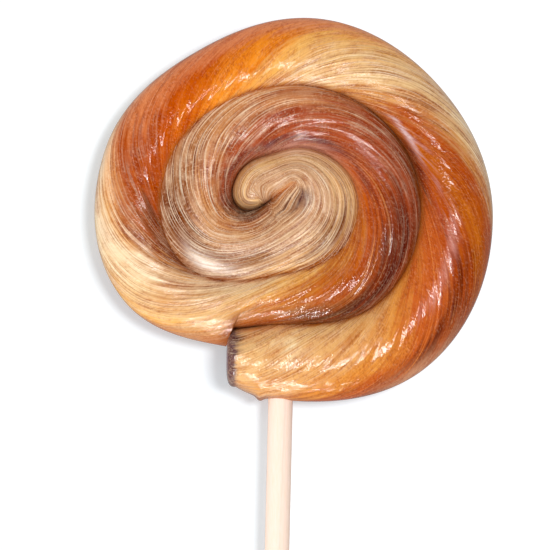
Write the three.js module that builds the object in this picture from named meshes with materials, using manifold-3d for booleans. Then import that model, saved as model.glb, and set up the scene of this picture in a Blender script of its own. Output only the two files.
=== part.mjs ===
// A hand-pulled swirl lollipop, lying on its back with the swirl up.
//
// The head is one rope of twisted sugar, wound clockwise from its tip at the eye into a flat
// coil whose turns have fused, so that a crease is left between them. The rope's cut end
// stands clear of the coil below the head, and a round paper stick is let into that last turn.
//
// Millimetres, +Z up. The origin is under the eye of the swirl, on the plane the head lies on.
// +Y runs from the stick towards the top of the head.

import * as THREE from 'three';
import { mergeVertices } from 'three/addons/utils/BufferGeometryUtils.js';
import Module from 'manifold-3d';

// The crease outside the rope: its distance from the eye at each eighth of a turn from the tip.
const CREASE_RADII = [
  13.0, 10.7, 7.0, 7.0, 8.8, 12.5, 15.6, 17.6, // first turn, round the tip
  25.9, 24.0, 19.8, 18.9, 20.9, 24.7, 27.9, 27.3, // second turn
  38.2, 36.4, 31.3, 32.1, 33.6, 38.8, 43.3, 41.3, // third turn, the outline of the head
  46.7, // where the line would run on past the cut end
];
const KNOT_SPACING = 45; // degrees wound between two of those radii
const TIP_DIRECTION = -145; // degrees from +X, the way the tip of the rope points from the eye

// The tip: the rope starts at the hole, at the end of a straight slit that runs from the eye.
const HOLE_SHARE = 0.5; // the hole's distance from the eye, as a share of the tip's reach
const TIP_ROUNDING = 36; // degrees wound over which the blunt tip reaches its full size
const TIP_POWER = 2.2; // how blunt the tip is
const TIP_LAG = 60; // degrees that the outer edge trails a square section by, at the tip
const TIP_LAG_POWER = 4; // how soon that lag is made up in the first turn

// The cut end: the rope leaves the coil at the notch, and ends a turn later beside it.
const NOTCH_WOUND = 686; // degrees wound at the notch
const NOTCH_STEP = 3.5; // the free flank beyond the notch bulges this much past the crease
const NOTCH_STEP_FROM = 3.4; // degrees past the notch where that bulge starts
const NOTCH_STEP_TO = 4.8; // and where it is full
const NOTCH_STEP_FADE = 25; // degrees over which it dies away round the coil
const NOTCH_FLARE = 6; // at the notch only the outer part of the section bulges, by this power
const NOTCH_FLARE_FADE = 14; // degrees over which the bulge spreads to the whole section
const END_LAG = 5.3; // degrees that the outer edge is short of a whole turn at the cut end
const END_LAG_TURNS = 0.27; // the part of a turn that takes up this lag
const END_CORNER = 0.035; // share of the radius lost where the outer corner is rounded
const END_CORNER_SPAN = 10; // degrees wound over which it is lost
const END_BULGE = 1.9; // how far the cut face swells out
const END_BULGE_POWER = 2.6; // how flat the swollen face is

// Heights, measured from the rope's middle plane.
const MIDDLE_HEIGHT = 5.1; // the middle plane above the slab that the head lies on
const CREST_AT_TIP = 6.9; // the top of the rope at the tip
const CREST_FALL = 0.3; // how much lower it is after each turn
const CREST_WAVE = 0.2; // the hand-made rise and fall of the crest along the rope
const CREST_WAVES_PER_TURN = 1.7;
const BACK_CREST = 5.6; // the round back, before it is pressed flat at the slab
const CREASE_TOPS = [
  0.4, 2.4, 3.2, 4.0, // the top crease at each quarter turn: out of the hole, up round the tip,
  3.7, 4.7, 2.4, 2.8, 2.8, // almost gone at the upper left, deep at the right, on to the notch
];
const CREASE_TOP_SPACING = 90; // degrees wound between two of those heights
const CREASE_BACK = 3.6; // the crease on the back
const HOLE_BACK = 3.0;
const EYE_TOP = 6.4; // the end of the slit, at the eye
const EYE_BACK = 5.6;
const HOLE_CLIMB = 0.3; // turns over which the back's crease climbs out of the hole
const NOTCH_SINK = 0.05; // turns over which it sinks to the middle plane before the notch
const SECTION_POWER = 2.2; // the section is a superellipse, a little fuller than an ellipse
const FULL_ROPE = 11; // a section narrower than this stays lower
const LEAST_RISE = 1e-6; // keeps a section of no height from dividing by nothing
const SAME_PLACE = 1e-4; // points closer than this are one

// The paper stick.
const STICK_DIAMETER = 4.76;
const STICK_LENGTH = 152.4;
const STICK_LEAN = 1.34; // degrees that its lower end leans towards -X
const STICK_TOP = new THREE.Vector2(-2.1, -30.4); // the middle of its hidden end
const STICK_SIDES = 28;
const STICK_CHAMFER = 0.25;
const SOCKET_GAP = 0.3;

// Stretches of the first turn, in shares of a turn, and the steps across each one. Within
// them the inner edge stays at the hole, runs along the slit to the eye, turns there, and
// runs back along the slit. The first is split, because the tip and the notch need short steps.
const SLIT_STEPS = 6;
const STRETCHES = [
  { until: 0.12, steps: 16, inner: 'hole' },
  { until: 0.28, steps: 9, inner: 'hole' },
  { until: 0.4, steps: SLIT_STEPS, inner: 'out' },
  { until: 0.88, steps: 26, inner: 'eye' },
  { until: 1, steps: SLIT_STEPS, inner: 'back' },
];
const TOP_STEPS = 10; // steps over the rope
const BACK_STEPS = 8; // steps under it
const BULGE_STEPS = 4; // steps out over the cut face

// The notch and the cut end, in turns of the rope: the lag of the tip is long made up there.
const NOTCH_TURN = (NOTCH_WOUND + TIP_LAG) / 360;
const LAST_TURN = NOTCH_TURN + 1;

const { clamp, lerp, smoothstep, degToRad } = THREE.MathUtils;

// A smooth line through evenly spaced values (Catmull-Rom), read at a position among them.
function lineThrough(values, position) {
  const first = Math.min(Math.floor(position), values.length - 2);
  const t = position - first;
  const [a, b, c, d] = [-1, 0, 1, 2].map(
    (offset) => values[Math.min(Math.max(first + offset, 0), values.length - 1)],
  );
  const slope = c - a;
  const bend = 2 * a - 5 * b + 4 * c - d;
  const twist = 3 * b - a - 3 * c + d;
  return 0.5 * (2 * b + slope * t + bend * t * t + twist * t * t * t);
}

// The height of a superellipse of half-width and height 1 at x; it is its own inverse.
function bow(x, power) {
  return Math.pow(Math.max(1 - Math.pow(Math.abs(x), power), 0), 1 / power);
}

// Degrees wound by the outer edge, at a position given in turns of the rope.
function wound(turns) {
  const tipLag = TIP_LAG * (1 - Math.pow(Math.max(1 - turns, 0), TIP_LAG_POWER));
  const nearEnd = Math.max(turns - (LAST_TURN - END_LAG_TURNS), 0) / END_LAG_TURNS;
  return 360 * turns - tipLag - END_LAG * nearEnd * nearEnd;
}

// The outer edge of the rope, from the eye, without the bulge beyond the notch.
function edgeRadius(turns) {
  const angle = wound(turns);
  let radius = lineThrough(CREASE_RADII, angle / KNOT_SPACING);
  const tip = bow(1 - Math.min(angle / TIP_ROUNDING, 1), TIP_POWER);
  radius *= lerp(HOLE_SHARE, 1, tip);
  const corner = Math.max(angle - (wound(LAST_TURN) - END_CORNER_SPAN), 0) / END_CORNER_SPAN;
  return radius * (1 - END_CORNER * corner * corner);
}

// How far the free flank bulges past that line, at some degrees wound past the notch.
function notchBulge(past) {
  const fade = Math.exp(-Math.max(past - NOTCH_STEP_TO, 0) / NOTCH_STEP_FADE);
  return NOTCH_STEP * smoothstep(past, NOTCH_STEP_FROM, NOTCH_STEP_TO) * fade;
}

// A place on the middle plane, at a radius from the eye and so many degrees wound.
function placeAt(radius, angle) {
  const direction = degToRad(TIP_DIRECTION - angle);
  return new THREE.Vector2(radius * Math.cos(direction), radius * Math.sin(direction));
}

// An edge point: its place on the plane, with and without the bulge beyond the notch, how the
// bulge spreads over the section, and the height of the crease above and below the plane.
function edgePoint(turns) {
  const angle = wound(turns);
  const radius = edgeRadius(turns);
  const past = angle - NOTCH_WOUND;
  const climb = smoothstep(turns, 0, HOLE_CLIMB);
  const sink = 1 - smoothstep(turns, NOTCH_TURN - NOTCH_SINK, NOTCH_TURN);
  const knot = Math.min(angle / CREASE_TOP_SPACING, CREASE_TOPS.length - 1);
  return {
    unbulged: placeAt(radius, angle),
    place: placeAt(radius + notchBulge(past), angle),
    spread: lerp(1, NOTCH_FLARE, Math.exp(-Math.max(past, 0) / NOTCH_FLARE_FADE)),
    top: lineThrough(CREASE_TOPS, knot) * sink,
    back: lerp(HOLE_BACK, CREASE_BACK, climb) * sink,
  };
}

// A point of the slit, at a share of the way from the hole to the eye.
function slitPoint(share) {
  return {
    place: placeAt(edgeRadius(0) * (1 - share), 0),
    top: lerp(CREASE_TOPS[0], EYE_TOP, share),
    back: lerp(HOLE_BACK, EYE_BACK, share),
  };
}

// The stations of one turn, in shares of a turn, each with its inner point in the first turn.
function firstTurnStations() {
  const stations = [];
  let from = 0;
  for (const { until, steps, inner } of STRETCHES) {
    for (let step = 0; step < steps; step += 1) {
      const eased = smoothstep(step / steps, 0, 1);
      const share = { hole: 0, out: eased, eye: 1, back: 1 - eased }[inner];
      stations.push({ turns: lerp(from, until, step / steps), inner: slitPoint(share) });
    }
    from = until;
  }
  return stations;
}

// Every station of the rope: where the section's inner and outer ends are.
function ropeStations() {
  const turn = firstTurnStations();
  const stations = [];
  for (let index = 0; ; index += 1) {
    const { turns: share, inner } = turn[index % turn.length];
    const turns = Math.floor(index / turn.length) + share;
    const last = turns >= LAST_TURN;
    const at = last ? LAST_TURN : turns;
    stations.push({
      turns: at,
      inner: index < turn.length ? inner : stations[index - turn.length].outer,
      outer: edgePoint(at),
    });
    if (last) return stations;
  }
}

// The height of the rope's crest, which falls outward and waves a little.
function crestHeight(turns) {
  const wave = Math.sin(2 * Math.PI * CREST_WAVES_PER_TURN * turns);
  return CREST_AT_TIP - CREST_FALL * turns + CREST_WAVE * wave;
}

// One face of a section, inner end to outer end, as points over (or under) the middle plane:
// a superellipse cut off at each end where it meets the crease there. The bulge beyond the
// notch moves each point out by a power of its share of the way across.
function sectionFace(station, side) {
  const { inner, outer, turns } = station;
  const over = side === 'top';
  const steps = over ? TOP_STEPS : BACK_STEPS;
  const ends = Math.max(inner[side], outer[side]);
  const crest = over ? Math.max(crestHeight(turns), EYE_TOP) : BACK_CREST;
  const width = inner.place.distanceTo(outer.unbulged);
  const bulge = outer.place.clone().sub(outer.unbulged);
  const height = lerp(ends, crest, smoothstep(width, 0, FULL_ROPE)) + LEAST_RISE;
  const halfPower = SECTION_POWER / 2;
  const from = Math.PI - Math.asin(Math.pow(inner[side] / height, halfPower));
  const to = Math.asin(Math.pow(outer[side] / height, halfPower));
  const reachIn = bow(inner[side] / height, SECTION_POWER);
  const reachOut = bow(outer[side] / height, SECTION_POWER);
  const points = [];
  for (let step = 0; step <= steps; step += 1) {
    const around = lerp(from, to, step / steps);
    const across = Math.sign(Math.cos(around)) * Math.pow(Math.abs(Math.cos(around)), 1 / halfPower);
    const share = clamp((across + reachIn) / (reachIn + reachOut + LEAST_RISE), 0, 1);
    const rise = height * Math.pow(Math.max(Math.sin(around), 0), 1 / halfPower);
    const place = inner.place.clone().lerp(outer.unbulged, share);
    place.addScaledVector(bulge, Math.pow(share, outer.spread));
    const z = over ? MIDDLE_HEIGHT + rise : Math.max(MIDDLE_HEIGHT - rise, 0);
    points.push(new THREE.Vector3(place.x, place.y, z));
  }
  // The end points are shared with the next turn, so they are set exactly.
  for (const [end, point] of [[inner, points[0]], [outer, points[steps]]]) {
    const z = over ? MIDDLE_HEIGHT + end.top : Math.max(MIDDLE_HEIGHT - end.back, 0);
    point.set(end.place.x, end.place.y, z);
  }
  return points;
}

// A mesh from loose triangles: corners in the same place are merged, empty triangles dropped.
function meshFromTriangles(triangles) {
  const positions = triangles.flatMap((corners) => corners.flatMap((corner) => corner.toArray()));
  const soup = new THREE.BufferGeometry();
  soup.setAttribute('position', new THREE.Float32BufferAttribute(positions, 3));
  const merged = mergeVertices(soup, SAME_PLACE);
  const index = merged.getIndex().array;
  const kept = [];
  for (let i = 0; i < index.length; i += 3) {
    const [a, b, c] = index.subarray(i, i + 3);
    if (a !== b && b !== c && c !== a) kept.push(a, b, c);
  }
  merged.setIndex(kept);
  return merged;
}

// The two triangles of each cell between one row of points and the next.
function cellsBetween(row, next) {
  return row.slice(1).flatMap((corner, k) => [
    [row[k], next[k + 1], corner],
    [row[k], next[k], next[k + 1]],
  ]);
}

// The swollen cut face: copies of the last section, drawn in and moved out along the rope.
function cutFace(section, outward) {
  const centre = new THREE.Vector3();
  section.forEach((point) => centre.addScaledVector(point, 1 / section.length));
  const rows = [section];
  for (let step = 1; step <= BULGE_STEPS; step += 1) {
    const out = Math.sin((step / BULGE_STEPS) * (Math.PI / 2));
    const size = bow(out, END_BULGE_POWER);
    const middle = centre.clone().addScaledVector(outward, END_BULGE * out);
    const offset = outward.clone().multiplyScalar(END_BULGE * out);
    rows.push(section.map((point) => point.clone().add(offset).lerp(middle, 1 - size)));
  }
  return rows.slice(1).flatMap((row, k) => cellsBetween(rows[k], row));
}

// The coiled rope as one closed surface: its top, its back and the cut face.
function coilGeometry() {
  const stations = ropeStations();
  const tops = stations.map((station) => sectionFace(station, 'top'));
  const backs = stations.map((station) => sectionFace(station, 'back').reverse());
  const sections = stations.map((_, k) => [...tops[k], ...backs[k]]);
  const triangles = sections.slice(1).flatMap((section, k) => [
    ...cellsBetween(tops[k], tops[k + 1]),
    ...cellsBetween(backs[k], backs[k + 1]),
  ]);
  const { inner, outer } = stations.at(-1);
  const across = outer.place.clone().sub(inner.place).normalize();
  const outward = new THREE.Vector3(across.y, -across.x, 0);
  const loop = sections.at(-1);
  return meshFromTriangles([...triangles, ...cutFace([...loop, loop[0]], outward)]);
}

// A round bar along Y with chamfered ends, from y = 0 down to y = -length.
function barGeometry(radius, length, chamfer) {
  const profile = [
    [0, 0],
    [radius - chamfer, 0],
    [radius, chamfer],
    [radius, length - chamfer],
    [radius - chamfer, length],
    [0, length],
  ].map(([x, y]) => new THREE.Vector2(x, y));
  const bar = new THREE.LatheGeometry(profile, STICK_SIDES);
  bar.rotateX(Math.PI);
  return bar;
}

// Puts a bar made along -Y where the stick goes.
function alongStick(geometry) {
  geometry.rotateZ(degToRad(-STICK_LEAN));
  geometry.translate(STICK_TOP.x, STICK_TOP.y, MIDDLE_HEIGHT);
  return geometry;
}

const wasm = await Module();
wasm.setup();

// A solid from a closed geometry.
function solidOf(geometry) {
  const bare = geometry.clone();
  bare.deleteAttribute('normal');
  bare.deleteAttribute('uv');
  const merged = mergeVertices(bare, SAME_PLACE);
  return new wasm.Manifold(new wasm.Mesh({
    numProp: 3,
    vertProperties: new Float32Array(merged.getAttribute('position').array),
    triVerts: new Uint32Array(merged.getIndex().array),
  }));
}

// A geometry from a solid.
function geometryOf(solid) {
  const { vertProperties, triVerts } = solid.getMesh();
  const geometry = new THREE.BufferGeometry();
  geometry.setAttribute('position', new THREE.BufferAttribute(vertProperties, 3));
  geometry.setIndex(new THREE.BufferAttribute(triVerts, 1));
  geometry.computeVertexNormals();
  return geometry;
}

// The head, with a blind socket for the stick.
function makeHead() {
  const socketBar = barGeometry(STICK_DIAMETER / 2 + SOCKET_GAP, STICK_LENGTH, STICK_CHAMFER);
  socketBar.translate(0, SOCKET_GAP, 0);
  const head = solidOf(coilGeometry()).subtract(solidOf(alongStick(socketBar)));
  const sugar = new THREE.MeshStandardMaterial({ color: 0xc98a4b, roughness: 0.3, metalness: 0 });
  const mesh = new THREE.Mesh(geometryOf(head), sugar);
  mesh.name = 'candy_swirl';
  return mesh;
}

// The paper stick.
function makeStick() {
  const bar = alongStick(barGeometry(STICK_DIAMETER / 2, STICK_LENGTH, STICK_CHAMFER));
  const paper = new THREE.MeshStandardMaterial({ color: 0xfdebd6, roughness: 0.8, metalness: 0 });
  const mesh = new THREE.Mesh(bar, paper);
  mesh.name = 'paper_stick';
  return mesh;
}

const lollipop = new THREE.Group();
lollipop.add(makeHead(), makeStick());

export default lollipop;
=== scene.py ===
"""The looks of a hand-pulled swirl lollipop: satin sugar, a rolled paper stick and a plain studio.

The rope of sugar is worked out in millimetres from the same sizes as the solid it stands for, and
is handed to Blender in metres. Its top and its back are surfaces of two parameters: how far along
the rope, and how far across it.
"""

import logging
import math
from dataclasses import dataclass, field
from enum import Enum
from functools import partial

import bpy
import numpy as np
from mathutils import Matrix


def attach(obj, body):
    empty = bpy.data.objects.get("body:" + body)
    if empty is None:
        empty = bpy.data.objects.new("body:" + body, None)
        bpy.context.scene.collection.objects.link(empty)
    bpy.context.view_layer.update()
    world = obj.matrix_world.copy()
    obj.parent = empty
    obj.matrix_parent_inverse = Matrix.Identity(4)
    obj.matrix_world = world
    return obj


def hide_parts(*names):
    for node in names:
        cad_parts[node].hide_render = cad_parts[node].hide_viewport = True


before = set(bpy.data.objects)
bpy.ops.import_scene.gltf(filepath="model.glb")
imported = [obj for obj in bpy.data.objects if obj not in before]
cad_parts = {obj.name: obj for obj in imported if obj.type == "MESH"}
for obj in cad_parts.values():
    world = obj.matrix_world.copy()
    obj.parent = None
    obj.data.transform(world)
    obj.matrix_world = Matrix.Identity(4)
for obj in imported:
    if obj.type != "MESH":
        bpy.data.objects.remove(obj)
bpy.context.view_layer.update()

Array, Piece, Material = np.ndarray, bpy.types.Object, bpy.types.Material
Tree, Socket = bpy.types.NodeTree, bpy.types.NodeSocket
log = logging.getLogger("lollipop")
MM = 0.001
WELD_DECIMALS = 4  # points that agree to so many decimals of a millimetre are one point
SMALL, TINY = 1e-6, 1e-9  # what keeps a divisor off zero


def linear(hex_colour: str) -> tuple[float, float, float, float]:
    """Turns an sRGB hex colour into linear light.

    Args:
        hex_colour: six hex digits, such as "e8c088".

    Returns:
        Red, green and blue in linear light, and an alpha of 1.
    """
    parts = [int(hex_colour[k:k + 2], 16) / 255 for k in (0, 2, 4)]
    light = [c / 12.92 if c <= 0.04045 else ((c + 0.055) / 1.055) ** 2.4 for c in parts]
    return (*light, 1.0)


def smoothstep(value: Array, low: float, high: float) -> Array:
    """Eases from 0 at low to 1 at high, level at both."""
    t = np.clip((value - low) / (high - low), 0, 1)
    return t * t * (3 - 2 * t)


def mix(start: Array, end: Array, share: Array) -> Array:
    """Goes in a straight line from start to end as share goes from 0 to 1."""
    return start + (end - start) * share


def bow(across: Array, power: float) -> Array:
    """Gives the height of a superellipse of half-width and height 1; it is its own inverse."""
    return np.maximum(1 - np.abs(across) ** power, 0) ** (1 / power)


def line_through(values: tuple[float, ...], position: Array) -> Array:
    """Reads a smooth line through evenly spaced values (Catmull-Rom).

    Args:
        values: what the line passes through, one value for each whole position.
        position: where to read it.

    Returns:
        The line's value at each position.
    """
    known = np.asarray(values, dtype=float)
    first = np.minimum(np.floor(position).astype(int), len(known) - 2)
    t = position - first
    a, b, c, d = (known[np.clip(first + k, 0, len(known) - 1)] for k in (-1, 0, 1, 2))
    slope, bend, twist = c - a, 2 * a - 5 * b + 4 * c - d, 3 * b - a - 3 * c + d
    return 0.5 * (2 * b + slope * t + bend * t * t + twist * t ** 3)


def add_node(tree: Tree, kind: str, settings: dict | None = None,
             inputs: dict | None = None) -> bpy.types.Node:
    """Adds one node to a tree, with its settings and what feeds its inputs.

    Args:
        tree: the node tree.
        kind: the node's type, without the words ShaderNode.
        settings: the node's own properties, by name.
        inputs: for each input, by name or number, a value or another node's output.

    Returns:
        The new node.
    """
    node = tree.nodes.new("ShaderNode" + kind)
    for name, value in (settings or {}).items():
        setattr(node, name, value)
    for key, value in (inputs or {}).items():
        socket = node.inputs[key]
        if isinstance(value, Socket):
            tree.links.new(value, socket)
        else:
            socket.default_value = value
    return node


def empty_material(name: str) -> tuple[Material, Tree]:
    """Makes a material with no nodes.

    Args:
        name: the material's name.

    Returns:
        The material and its node tree.
    """
    made = bpy.data.materials.new(name)
    made.use_nodes = True
    made.node_tree.nodes.clear()
    return made, made.node_tree


def grid_triangles(rows: int, columns: int) -> Array:
    """Cuts each cell of a grid of points, which are numbered row by row, into two triangles.

    Args:
        rows: how many rows of points.
        columns: how many points in a row.

    Returns:
        Three point numbers for each triangle.
    """
    at = np.arange(rows * columns).reshape(rows, columns)
    a, b, c, d = (part.ravel() for part in (at[:-1, :-1], at[:-1, 1:], at[1:, 1:], at[1:, :-1]))
    return np.stack([np.stack([a, c, b], -1), np.stack([a, d, c], -1)], 1).reshape(-1, 3)


class Side(Enum):
    """The two faces of the rope: up at the eye, or down on the slab."""

    TOP = 1
    BACK = -1


class Inner(Enum):
    """Where the inner edge of the first turn is: the hole, the slit outward, the eye, or back."""

    HOLE = "hole"
    OUT = "out"
    EYE = "eye"
    BACK = "back"


@dataclass(frozen=True)
class Stretch:
    """Part of the first turn: the share of a turn where it ends, its steps and its inner edge."""

    until: float
    steps: int
    inner: Inner


@dataclass
class Sheet:
    """A grid of points with what the sugar's finish reads at each of them.

    strand is the place in the rope as it was before it was twisted and coiled, in millimetres.
    strip is the turns of twist at which the strip of sugar there comes to the top of the rope.
    share is how far across the rope it is, and turns how far along. margin is the millimetres
    from the inner edge and from the outer edge. end goes from 0 to 1 over the cut face.
    """

    points: Array
    strand: Array
    strip: Array
    share: Array
    turns: Array
    margin: Array
    end: Array


@dataclass
class Rope:
    """The coiled rope of sugar. Lengths are millimetres, angles are degrees wound from the tip."""

    crease_radii: tuple[float, ...] = (
        13.0, 10.7, 7.0, 7.0, 8.8, 12.5, 15.6, 17.6,
        25.9, 24.0, 19.8, 18.9, 20.9, 24.7, 27.9, 27.3,
        38.2, 36.4, 31.3, 32.1, 33.6, 38.8, 43.3, 41.3,
        46.7,
    )
    knot_spacing: float = 45.0
    tip_direction: float = -145.0
    hole_share: float = 0.5
    tip_rounding: float = 36.0
    tip_power: float = 2.2
    tip_lag: float = 60.0
    tip_lag_power: float = 4.0
    notch_wound: float = 686.0
    notch_step: float = 3.5
    notch_step_from: float = 1.4
    notch_step_to: float = 2.1
    notch_lean: float = 11.0
    notch_lean_fade: float = 5.0
    notch_step_fade: float = 25.0
    notch_flare: float = 6.0
    notch_flare_fade: float = 14.0
    end_lag: float = 5.3
    end_lag_turns: float = 0.27
    end_corner: float = 0.035
    end_corner_span: float = 10.0
    end_bulge: float = 1.9
    end_bulge_power: float = 3.4
    middle_height: float = 5.1
    crest_at_tip: float = 6.9
    crest_fall: float = 0.3
    crest_wave: float = 0.2
    crest_waves_per_turn: float = 1.7
    back_crest: float = 5.6
    crease_tops: tuple[float, ...] = (0.4, 2.4, 3.2, 4.0, 3.7, 4.7, 2.4, 2.8, 2.8)
    crease_top_spacing: float = 90.0
    crease_back: float = 3.6
    hole_back: float = 3.0
    eye_top: float = 6.4
    eye_back: float = 5.6
    hole_climb: float = 0.3
    notch_sink: float = 0.05
    section_power: float = 2.2
    crest_shift: float = 0.82
    shift_from: tuple[float, float] = (2.05, 2.3)
    shift_to: tuple[float, float] = (2.85, 3.05)
    full_rope: float = 11.0
    fineness: int = 7
    top_steps: int = 46
    back_steps: int = 14
    bulge_steps: int = 14
    stretches: tuple[Stretch, ...] = (
        Stretch(0.12, 16, Inner.HOLE),
        Stretch(0.28, 9, Inner.HOLE),
        Stretch(0.4, 6, Inner.OUT),
        Stretch(0.88, 26, Inner.EYE),
        Stretch(1.0, 6, Inner.BACK),
    )
    slow_twist: float = 155.0
    slow_from: tuple[float, float] = (0.6, 1.0)
    fast_twist: float = 90.0
    fast_from: tuple[float, float] = (1.85, 2.15)
    strand_radius: float = 4.5
    core_reach: float = 4.4
    line_blend: tuple[float, float] = (1.0, 1.35)
    line_search: tuple[int, int] = (150, 3)
    ridges: tuple[tuple[int, float, float], ...] = (
        (7, 0.03, 0.5), (12, 0.03, 2.1), (19, 0.03, 4.4), (31, 0.03, 1.3),
    )
    ridge_drift: float = 0.045
    ridge_wave: float = 9.0
    ridge_margin: float = 0.16
    drip_at: float = 1033.8
    drip_spread: float = 1.2
    drip_length: float = 0.7
    drip_power: float = 9.0
    notch_turn: float = field(init=False)
    last_turn: float = field(init=False)

    def __post_init__(self) -> None:
        """Works out where along the rope the notch and the cut end are, in turns."""
        self.notch_turn = (self.notch_wound + self.tip_lag) / 360
        self.last_turn = self.notch_turn + 1

    def wound(self, turns: Array) -> Array:
        """Gives the degrees wound by the outer edge at a position in turns.

        The edge lags behind a whole turn at the tip, by a power of what is left of the first
        turn, and again a little at the cut end, by the square of what is past of the last stretch.

        Args:
            turns: the positions along the rope, in turns of the coil.

        Returns:
            The degrees at each position.
        """
        tip_lag = self.tip_lag * (1 - np.maximum(1 - turns, 0) ** self.tip_lag_power)
        lag_from = self.last_turn - self.end_lag_turns
        near_end = np.maximum(turns - lag_from, 0) / self.end_lag_turns
        return 360 * turns - tip_lag - self.end_lag * near_end ** 2

    def edge_radius(self, turns: Array) -> Array:
        """Gives the outer edge's distance from the eye, without the bulge beyond the notch.

        It is the line through the crease radii, drawn in round the blunt tip by a superellipse
        and rounded at the end's corner.

        Args:
            turns: the positions along the rope.

        Returns:
            The distance at each position.
        """
        angle = self.wound(turns)
        radius = line_through(self.crease_radii, angle / self.knot_spacing)
        tip = bow(1 - np.minimum(angle / self.tip_rounding, 1), self.tip_power)
        radius = radius * mix(self.hole_share, 1, tip)
        ending = angle - (self.wound(np.float64(self.last_turn)) - self.end_corner_span)
        corner = np.maximum(ending, 0) / self.end_corner_span
        return radius * (1 - self.end_corner * corner ** 2)

    def bulge(self, turns: Array) -> tuple[Array, Array]:
        """Works out the bulge of the free flank past the notch.

        The bulge steps out smoothly and fades as an exponential of the degrees past the notch.
        Over the section it grows as a power of the share across, which fades to 1 likewise.

        Args:
            turns: the positions along the rope.

        Returns:
            How far the flank bulges at each position, and the power of the share across.
        """
        past = self.wound(turns) - self.notch_wound
        fade = np.exp(-np.maximum(past - self.notch_step_to, 0) / self.notch_step_fade)
        out = self.notch_step * fade * smoothstep(past, self.notch_step_from, self.notch_step_to)
        near = np.exp(-np.maximum(past, 0) / self.notch_flare_fade)
        return out, mix(1, self.notch_flare, near)

    def outward(self, turns: Array) -> Array:
        """Gives the direction away from the eye, leaning towards the cut end near the notch.

        The lean fades as an exponential of the degrees past the notch.

        Args:
            turns: the positions along the rope.

        Returns:
            The x and y of a direction of length 1 at each position.
        """
        past = np.maximum(self.wound(turns) - self.notch_wound, 0)
        lean = self.notch_lean * np.exp(-past / self.notch_lean_fade)
        return self.place(np.ones_like(turns), self.wound(turns) - lean)

    def place(self, radius: Array, angle: Array) -> Array:
        """Gives x and y at a distance from the eye and so many degrees wound."""
        direction = np.radians(self.tip_direction - angle)
        return np.stack([radius * np.cos(direction), radius * np.sin(direction)], -1)

    def edge(self, turns: Array) -> Array:
        """Works out the outer edge, where the rope meets its next turn.

        The crease climbs out of the hole and sinks to nothing at the notch, both smoothly.

        Args:
            turns: the positions along the rope.

        Returns:
            The edge's x, y, and height above and below the middle plane, at each position.
        """
        climb = smoothstep(turns, 0, self.hole_climb)
        sink = 1 - smoothstep(turns, self.notch_turn - self.notch_sink, self.notch_turn)
        knot = np.minimum(self.wound(turns) / self.crease_top_spacing, len(self.crease_tops) - 1)
        heights = [line_through(self.crease_tops, knot) * sink,
                   mix(self.hole_back, self.crease_back, climb) * sink]
        place = self.place(self.edge_radius(turns), self.wound(turns))
        return np.concatenate([place, np.stack(heights, -1)], -1)

    def slit(self, share: Array) -> Array:
        """Works out the slit's crease, a straight line from the hole to the eye.

        Args:
            share: how far from the hole to the eye.

        Returns:
            The crease's x, y, and height above and below the middle plane.
        """
        radius = self.edge_radius(np.zeros(1)) * (1 - share)
        heights = [mix(self.crease_tops[0], self.eye_top, share),
                   mix(self.hole_back, self.eye_back, share)]
        return np.concatenate([self.place(radius, np.zeros_like(radius)), np.stack(heights, -1)], -1)

    def stations(self) -> tuple[Array, Array, Array]:
        """Places the sections along the rope.

        Returns:
            The turns at each station, and the inner and the outer end of each section.
        """
        turn, share, start = [], [], 0.0
        for stretch in self.stretches:
            along = np.arange(stretch.steps * self.fineness) / (stretch.steps * self.fineness)
            turn.append(mix(start, stretch.until, along))
            eased = smoothstep(along, 0, 1)
            share.append({Inner.HOLE: 0 * along, Inner.OUT: eased,
                          Inner.EYE: 0 * along + 1, Inner.BACK: 1 - eased}[stretch.inner])
            start = stretch.until
        turn, share = np.concatenate(turn), np.concatenate(share)
        whole = np.arange(math.ceil(self.last_turn) + 1)
        turns = (whole[:, None] + turn[None, :]).ravel()
        turns = np.append(turns[turns < self.last_turn], self.last_turn)
        outer = self.edge(turns)
        inner = np.concatenate([self.slit(share), outer])[:len(turns)]
        return turns, inner, outer

    def twist(self, turns: Array, along: Array) -> Array:
        """Gives the turns of twist in the rope up to each station.

        It is the running sum of length over twist length: none near the tip, slow in the second
        turn of the coil and faster in the outer one, eased from each to the next.

        Args:
            turns: the turns of the coil at each station.
            along: the millimetres along the rope at each station.

        Returns:
            The turns of twist at each station.
        """
        slow, fast = smoothstep(turns, *self.slow_from), smoothstep(turns, *self.fast_from)
        rate = slow / self.slow_twist + fast * (1 / self.fast_twist - 1 / self.slow_twist)
        return np.cumsum(np.diff(along, prepend=0) * rate)

    def core(self, turns: Array, inner: Array) -> Array:
        """Draws the part of the slit near the tip in to the eye.

        Args:
            turns: the turns at each station.
            inner: the inner edge at each station.

        Returns:
            The x and y of the inner edge at each station.
        """
        distance = np.hypot(*inner[:, :2].T)
        near = np.minimum(1, self.core_reach / np.maximum(distance, self.core_reach))
        return inner[:, :2] * np.where(turns < 1, near, 1)[:, None]

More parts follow.
